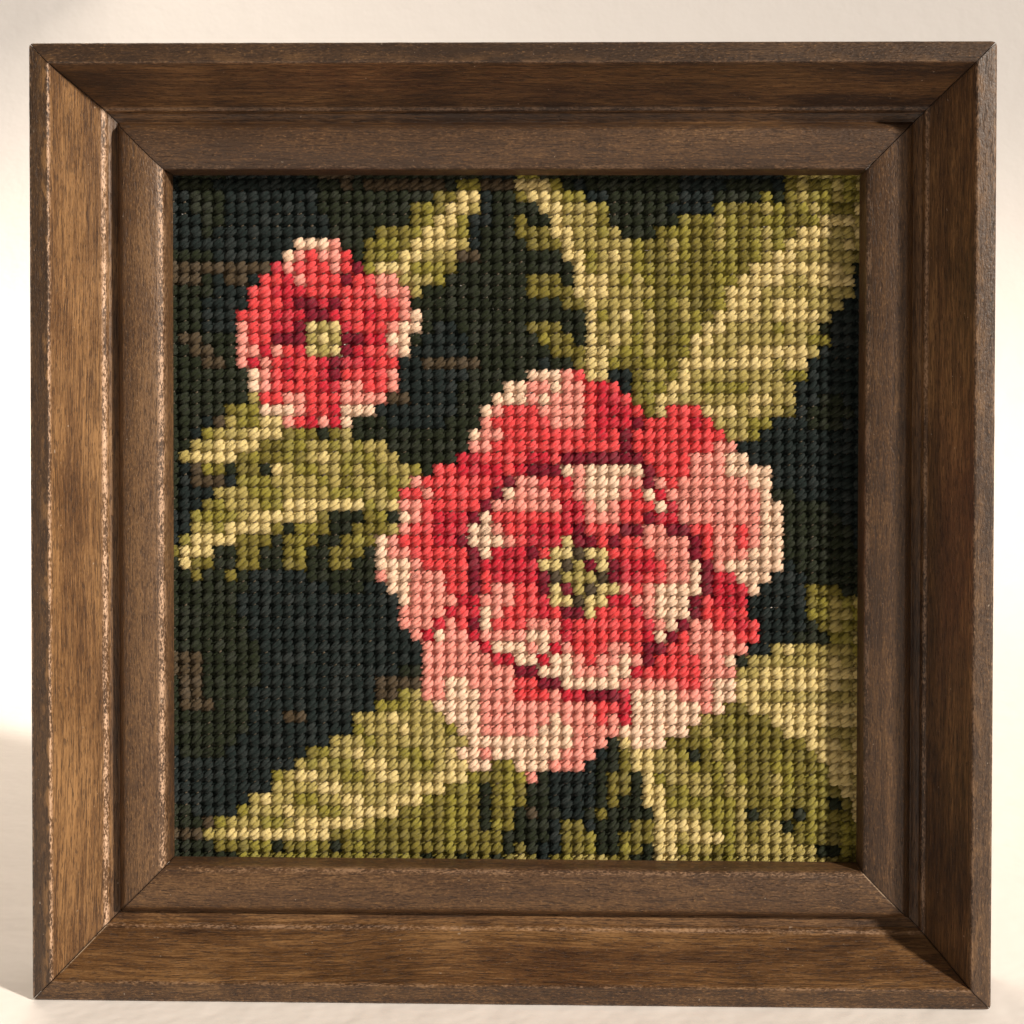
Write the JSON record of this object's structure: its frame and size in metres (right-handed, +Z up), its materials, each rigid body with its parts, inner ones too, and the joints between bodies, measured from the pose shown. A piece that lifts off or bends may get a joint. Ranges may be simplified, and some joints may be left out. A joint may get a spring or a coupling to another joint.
{
  "type": "needlepoint canvas panel in a wooden frame",
  "caption": "Flat square canvas worked all over in slanted wool stitches, held behind the sight edge of a mitred, dark stained wooden picture frame that stands on its bottom rail.",
  "frame": {"origin": "middle of the frame's footprint, on the surface that it stands on", "axes": "+Z up; the stitched front faces -Y and the back faces +Y; +X is to the right of someone looking at the front"},
  "size_m": [0.2, 0.0249, 0.2],
  "materials": {
    "stained_wood": "dark brown stain under a thin satin varnish, open grain, worn on the raised edges",
    "stitched_wool": "matte wool in slanted stitches: greens, cream, pinks and reds on open cotton canvas"
  },
  "bodies": {
    "root": {"rail_top": "stained_wood", "rail_bottom": "stained_wood", "rail_left": "stained_wood", "rail_right": "stained_wood", "needlepoint_canvas": "stitched_wool"}
  },
  "joints": []
}
